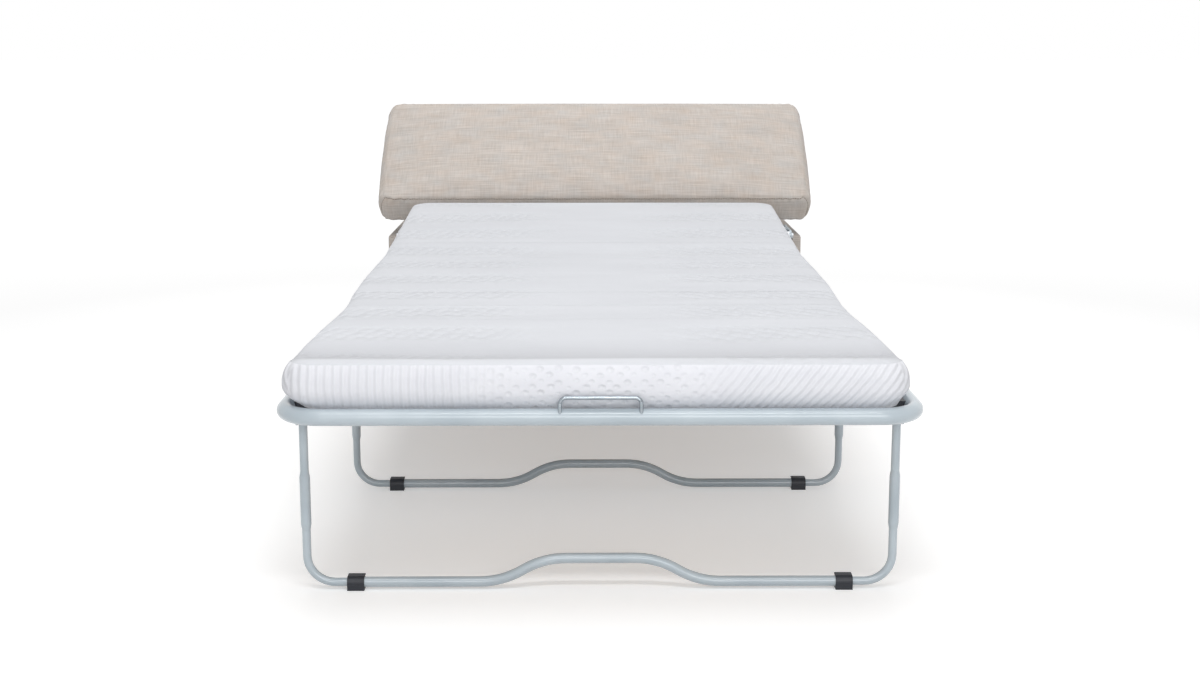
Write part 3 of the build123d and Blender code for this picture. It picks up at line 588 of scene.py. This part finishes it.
def mattress_place(a, b, t):
    """A point of the whole mattress, from shares of its width, length and height."""
    half_width, half_depth = mattress_width / 2, MATTRESS_LENGTH / 2
    x, y = rounded_plan(a * half_width, b * half_depth, half_width, half_depth, MATTRESS_CORNER)
    station = y + half_depth
    edge = max(abs(a), abs(b)) >= OUTER
    lower = LOWER_INSET * max(0, 1 - t / LOWER_SHARE) ** 1.6
    upper = UPPER_INSET * max(0, (t - UPPER_SHARE) / (1 - UPPER_SHARE)) ** 2.6
    inset = lower + upper
    if edge:
        inset += EDGE_RIPPLE * ripple(x, y, t * 0.1, 0.09, 5)
    waist = SIDE_INSET + WAIST * math.exp(-(((station - WAIST_PLACE) / WAIST_LENGTH) ** 2))
    x *= 1 - (inset + waist) / half_width
    y *= 1 - inset / half_depth
    lip = FRONT_LIP * math.exp(-((max(0, station - LIP_PLACE) / LIP_LENGTH) ** 2))
    if edge:
        z = MATTRESS_BAND * (0.93 * t + 0.02 * min(1, t * 12)) + LIP_AT_EDGE * lip * t
    elif t > 0.5:
        flank = min((1 - abs(a)) * half_width, (1 - abs(b)) * half_depth)
        roll = min(1, flank / EDGE_ROLL)
        z = MATTRESS_BAND * (0.95 + 0.05 * math.sin(roll * math.pi / 2))
        dip = LIP_DIP * math.exp(-(((station - LIP_DIP_PLACE) / LIP_DIP_LENGTH) ** 2))
        z += lip * (LIP_AT_EDGE + (1 - LIP_AT_EDGE) * min(1, flank / LIP_MARGIN))
        soft = BROAD_BUMP * ripple(x, y, 0, 0.3, 2) + SMALL_BUMP * ripple(x * 0.3, y, 0, 0.08, 7)
        z += (soft - dip) * roll
    else:
        z = 0.0
    shift = MATTRESS_SHIFT * min(1, 6 * t)
    point = Vector((x + shift, y + half_depth + mattress_low.y, z + mattress_low.z))
    share = min(1, max(0, (point.y - HEAD_HINGE + SLOPE_RUN) / (2 * SLOPE_RUN)))
    turn = Matrix.Rotation(HEAD_SLOPE * share * share * (3 - 2 * share), 3, "X")
    return HINGE_POINT + turn @ (point - HINGE_POINT)


def ticking_side(centre, side):
    """Top and base are plain ticking, the sides ribbed."""
    return 0 if side in ("top", "base") else 1


TICKINGS = [TICKING, TICKING_SIDE]
mattress = pad_mesh("mattress_whole", MATTRESS_CELLS, mattress_place, TICKINGS, ticking_side)


def cut_length(name, start, end):
    """A closed length of the mattress between two places along the bed."""
    piece = mattress.copy()
    piece.data = mattress.data.copy()
    piece.name = piece.data.name = name
    bpy.context.scene.collection.objects.link(piece)
    mesh = bmesh.new()
    mesh.from_mesh(piece.data)
    for place, normal in ((start, (0, -1, 0)), (end, (0, 1, 0))):
        if place is None:
            continue
        everything = mesh.verts[:] + mesh.edges[:] + mesh.faces[:]
        plane = {"plane_co": (0, place, 0), "plane_no": normal}
        cut = bmesh.ops.bisect_plane(mesh, geom=everything, clear_outer=True, **plane)
        rim = [item for item in cut["geom_cut"] if isinstance(item, bmesh.types.BMEdge)]
        bmesh.ops.edgeloop_fill(mesh, edges=rim)
    bmesh.ops.recalc_face_normals(mesh, faces=mesh.faces)
    mesh.to_mesh(piece.data)
    mesh.free()
    return piece


FOLD_RUN = 58 * MM
HEAD_FOLD_RUN = 97 * MM
link_middle = (FOOT_HINGE + MIDDLE_HINGE) / 2
foot_cut = FOOT_HINGE - FOLD_RUN
middle_cut = MIDDLE_HINGE + FOLD_RUN
head_cuts = (HEAD_HINGE - HEAD_FOLD_RUN, HEAD_HINGE + HEAD_FOLD_RUN)


def fold_length(name, start, end, bodies, hinge, stands_for, run=FOLD_RUN):
    """A length of the mattress round one hinge: cut out as it lies, with the parts it stands for hidden.
    """
    piece = cut_length(name, start, end)
    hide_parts(*stands_for)
    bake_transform(piece)


foot_length = cut_length("mattress_foot_length", None, foot_cut)
finish_soft(foot_length, "foot", ["mattress_foot"])
foot_fold = ["mattress_foot_fold"]
fold_length("mattress_foot_fold_a", foot_cut, link_middle, ("foot", "link"), FOOT_HINGE, foot_fold)
fold_length("mattress_foot_fold_b", link_middle, middle_cut, ("link", "middle"), MIDDLE_HINGE, foot_fold)
middle_length = cut_length("mattress_middle_length", middle_cut, head_cuts[0])
finish_soft(middle_length, "middle", ["mattress_middle"])
head_bodies, head_fold = ("middle", "root"), ["mattress_head_fold"]
fold_length("mattress_head_bend", *head_cuts, head_bodies, HEAD_HINGE, head_fold, HEAD_FOLD_RUN)
head_length = cut_length("mattress_head_length", head_cuts[1], None)
finish_soft(head_length, "root", ["mattress_head"])
bpy.data.objects.remove(mattress)


# Stitches along the lid's seams and staples in the box's lining, set along paths


def repeat_tree():
    """Blocks of a given size and spacing along the edges of a mesh, each turned a little at random."""
    group = bpy.data.node_groups.new("blocks_along_a_path", "GeometryNodeTree")
    sockets = {}
    for name, kind in (
        ("Path", "NodeSocketGeometry"),
        ("Spacing", "NodeSocketFloat"),
        ("Length", "NodeSocketFloat"),
        ("Thickness", "NodeSocketFloat"),
        ("Sway", "NodeSocketFloat"),
        ("Seed", "NodeSocketInt"),
        ("Material", "NodeSocketMaterial"),
    ):
        sockets[name] = group.interface.new_socket(name, in_out="INPUT", socket_type=kind).identifier
    group.interface.new_socket("Blocks", in_out="OUTPUT", socket_type="NodeSocketGeometry")
    given = add(group, "NodeGroupInput").node.outputs
    thick, sway = given["Thickness"], given["Sway"]
    curve = add(group, "GeometryNodeMeshToCurve", (given["Path"],))
    spaced = {0: curve, "Length": given["Spacing"]}
    points = add(group, "GeometryNodeCurveToPoints", spaced, mode="LENGTH")
    size = add(group, "ShaderNodeCombineXYZ", (thick, thick, given["Length"]))
    block = add(group, "GeometryNodeMeshCube", {"Size": size})
    ends = (product(group, sway, -1.0), sway)
    least, most = (add(group, "ShaderNodeCombineXYZ", (end, end, end)) for end in ends)
    drawn = {0: least, 1: most, "Seed": given["Seed"]}
    angles = add(group, "FunctionNodeRandomValue", drawn, data_type="FLOAT_VECTOR")
    turn = add(group, "FunctionNodeEulerToRotation", (angles,))
    facing = points.node.outputs["Rotation"]
    turned = add(group, "FunctionNodeRotateRotation", (facing, turn), rotation_space="LOCAL")
    placed = {"Points": points, "Instance": block, "Rotation": turned}
    placed = add(group, "GeometryNodeInstanceOnPoints", placed)
    real = add(group, "GeometryNodeRealizeInstances", (placed,))
    painted = add(group, "GeometryNodeSetMaterial", {0: real, "Material": given["Material"]})
    add(group, "NodeGroupOutput", (painted,))
    return group, sockets


BLOCKS, BLOCK_SOCKETS = repeat_tree()


def blocks_along(name, paths, body, slot, **given):
    """One plain mesh of blocks along open paths, riding on a body."""
    mesh = bmesh.new()
    for path in paths:
        corners = [mesh.verts.new(point) for point in path]
        for first, second in zip(corners, corners[1:]):
            mesh.edges.new((first, second))
    path_piece = bpy.data.objects.new(name, bpy.data.meshes.new(name + "_path"))
    mesh.to_mesh(path_piece.data)
    mesh.free()
    bpy.context.scene.collection.objects.link(path_piece)
    modifier = path_piece.modifiers.new("blocks", "NODES")
    modifier.node_group = BLOCKS
    for socket, value in given.items():
        modifier[BLOCK_SOCKETS[socket]] = value
    evaluated = path_piece.evaluated_get(bpy.context.evaluated_depsgraph_get())
    made = bpy.data.meshes.new_from_object(evaluated)
    path_piece.modifiers.remove(modifier)
    path_piece.data = made
    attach(path_piece, body)


# Lockstitch 5 mm long in the seam of each lid cover
for cushion, body in ((headrest, "headrest"), (rear_lid, "root")):
    blocks_along(
        cushion.name.replace("cover", "stitches"),
        [SEAMS[cushion.name]],
        body,
        "linen",
        Spacing=6.2 * MM,
        Length=5.2 * MM,
        Thickness=1.5 * MM,
        Sway=0.05,
        Seed=5,
        Material=THREAD,
    )

# Staples 10 mm wide hold the black lining along the tops of the box's panels
STAPLE_PROUD = 1.7 * MM
STAPLE_DROP = 22 * MM
left = high("box_side_panel_left").x + STAPLE_PROUD
right = low("box_side_panel_right").x - STAPLE_PROUD
front = high("box_front_panel").y + STAPLE_PROUD
back = low("box_back_panel").y - STAPLE_PROUD
side_level = high("box_side_panel_left").z - STAPLE_DROP
front_level = high("box_front_panel").z - STAPLE_DROP
staple_paths = [
    [(left, front + STAPLE_DROP, side_level), (left, back - STAPLE_DROP, side_level)],
    [(right, front + STAPLE_DROP, side_level), (right, back - STAPLE_DROP, side_level)],
    [(left + STAPLE_DROP, front, front_level), (right - STAPLE_DROP, front, front_level)],
    [(left + STAPLE_DROP, back, side_level), (right - STAPLE_DROP, back, side_level)],
]
blocks_along(
    "lining_staples",
    staple_paths,
    "root",
    "zinc_steel",
    Spacing=45 * MM,
    Length=10 * MM,
    Thickness=1 * MM,
    Sway=0.12,
    Seed=11,
    Material=ZINC,
)

# Floor, light and camera

FLOOR_SIZE = 80
NEAR_LIFT = 0.34
FAR_LIFT = 0.42
LIFT_REACH = 10.0
WORLD_LEVEL = 0.36

bpy.ops.mesh.primitive_plane_add(size=FLOOR_SIZE)
floor = bpy.context.object
floor.name = "studio_floor"
floor_paint = bpy.data.materials.new("studio_floor")
floor_paint.use_nodes = True
tree = floor_paint.node_tree
shade = tree.nodes["Principled BSDF"]
shade.inputs["Base Color"].default_value = linear("EDEDED")
shade.inputs["Roughness"].default_value = 0.95
shade.inputs["Specular IOR Level"].default_value = 0.0
# Seen by the camera the floor is lifted to white, more so where it lies beyond the lamps
place = add(tree, "ShaderNodeTexCoord").node.outputs["Object"]
distance = add(tree, "ShaderNodeVectorMath", (place,), operation="LENGTH").node.outputs["Value"]
distance = add(tree, "ShaderNodeMath", (distance, LIFT_REACH), operation="DIVIDE")
further = add(tree, "ShaderNodeValToRGB", (distance,), ((0.22, "000000"), (0.5, "FFFFFF")))
lift = weighted(tree, (further, FAR_LIFT), (NEAR_LIFT, 1))
glow = add(tree, "ShaderNodeEmission", (linear("FFFFFF"), product(tree, seen_rays(tree), lift)))
both = add(tree, "ShaderNodeAddShader", (shade.outputs[0], glow))
tree.links.new(both, tree.nodes["Material Output"].inputs[0])
floor.data.materials.append(floor_paint)

world = bpy.data.worlds.new("studio")
bpy.context.scene.world = world
world.use_nodes = True
tree = world.node_tree
strength = weighted(tree, (seen_rays(tree), 1.0 - WORLD_LEVEL), (WORLD_LEVEL, 1))
tree.links.new(strength, tree.nodes["Background"].inputs[1])
tree.nodes["Background"].inputs[0].default_value = linear("FFFFFF")


def softbox(name, place, aim, size, power):
    """A studio lamp of the given width and length in metres and power in watts."""
    lamp = bpy.data.lights.new(name, "AREA")
    lamp.shape = "RECTANGLE"
    lamp.size, lamp.size_y = size
    lamp.energy = power
    made = bpy.data.objects.new(name, lamp)
    made.location = place
    made.rotation_euler = (Vector(aim) - Vector(place)).to_track_quat("-Z", "Y").to_euler()
    bpy.context.scene.collection.objects.link(made)


softbox("overhead_softbox", place=(0, 0.4, 3.6), aim=(0, 0.0, 0), size=(3.0, 5.0), power=82)
softbox("front_softbox", place=(0.5, -5.2, 1.6), aim=(0, 0, 0.3), size=(3.0, 1.6), power=58)
softbox("front_strip", place=(0, -2.9, 2.9), aim=(0, -1.36, 0.1), size=(2.2, 0.3), power=26)

# The camera stands before the foot end; its place was solved from the leg hoops and the lid
FOOT_END = -1.34975
CAMERA_ASIDE = -0.018
CAMERA_AWAY = 2.337
CAMERA_HEIGHT = 0.8425
CAMERA_DOWN = 10.525
CAMERA_TURN = -0.418

camera = bpy.data.objects.new("camera", bpy.data.cameras.new("camera"))
camera.data.lens = 50
camera.data.sensor_width = 36
camera.data.clip_end = 60
camera.location = (CAMERA_ASIDE, FOOT_END - CAMERA_AWAY, CAMERA_HEIGHT)
camera.rotation_euler = (math.radians(90 - CAMERA_DOWN), 0, math.radians(CAMERA_TURN))
bpy.context.scene.collection.objects.link(camera)
bpy.context.scene.camera = camera
bpy.context.scene.view_settings.view_transform = "Standard"
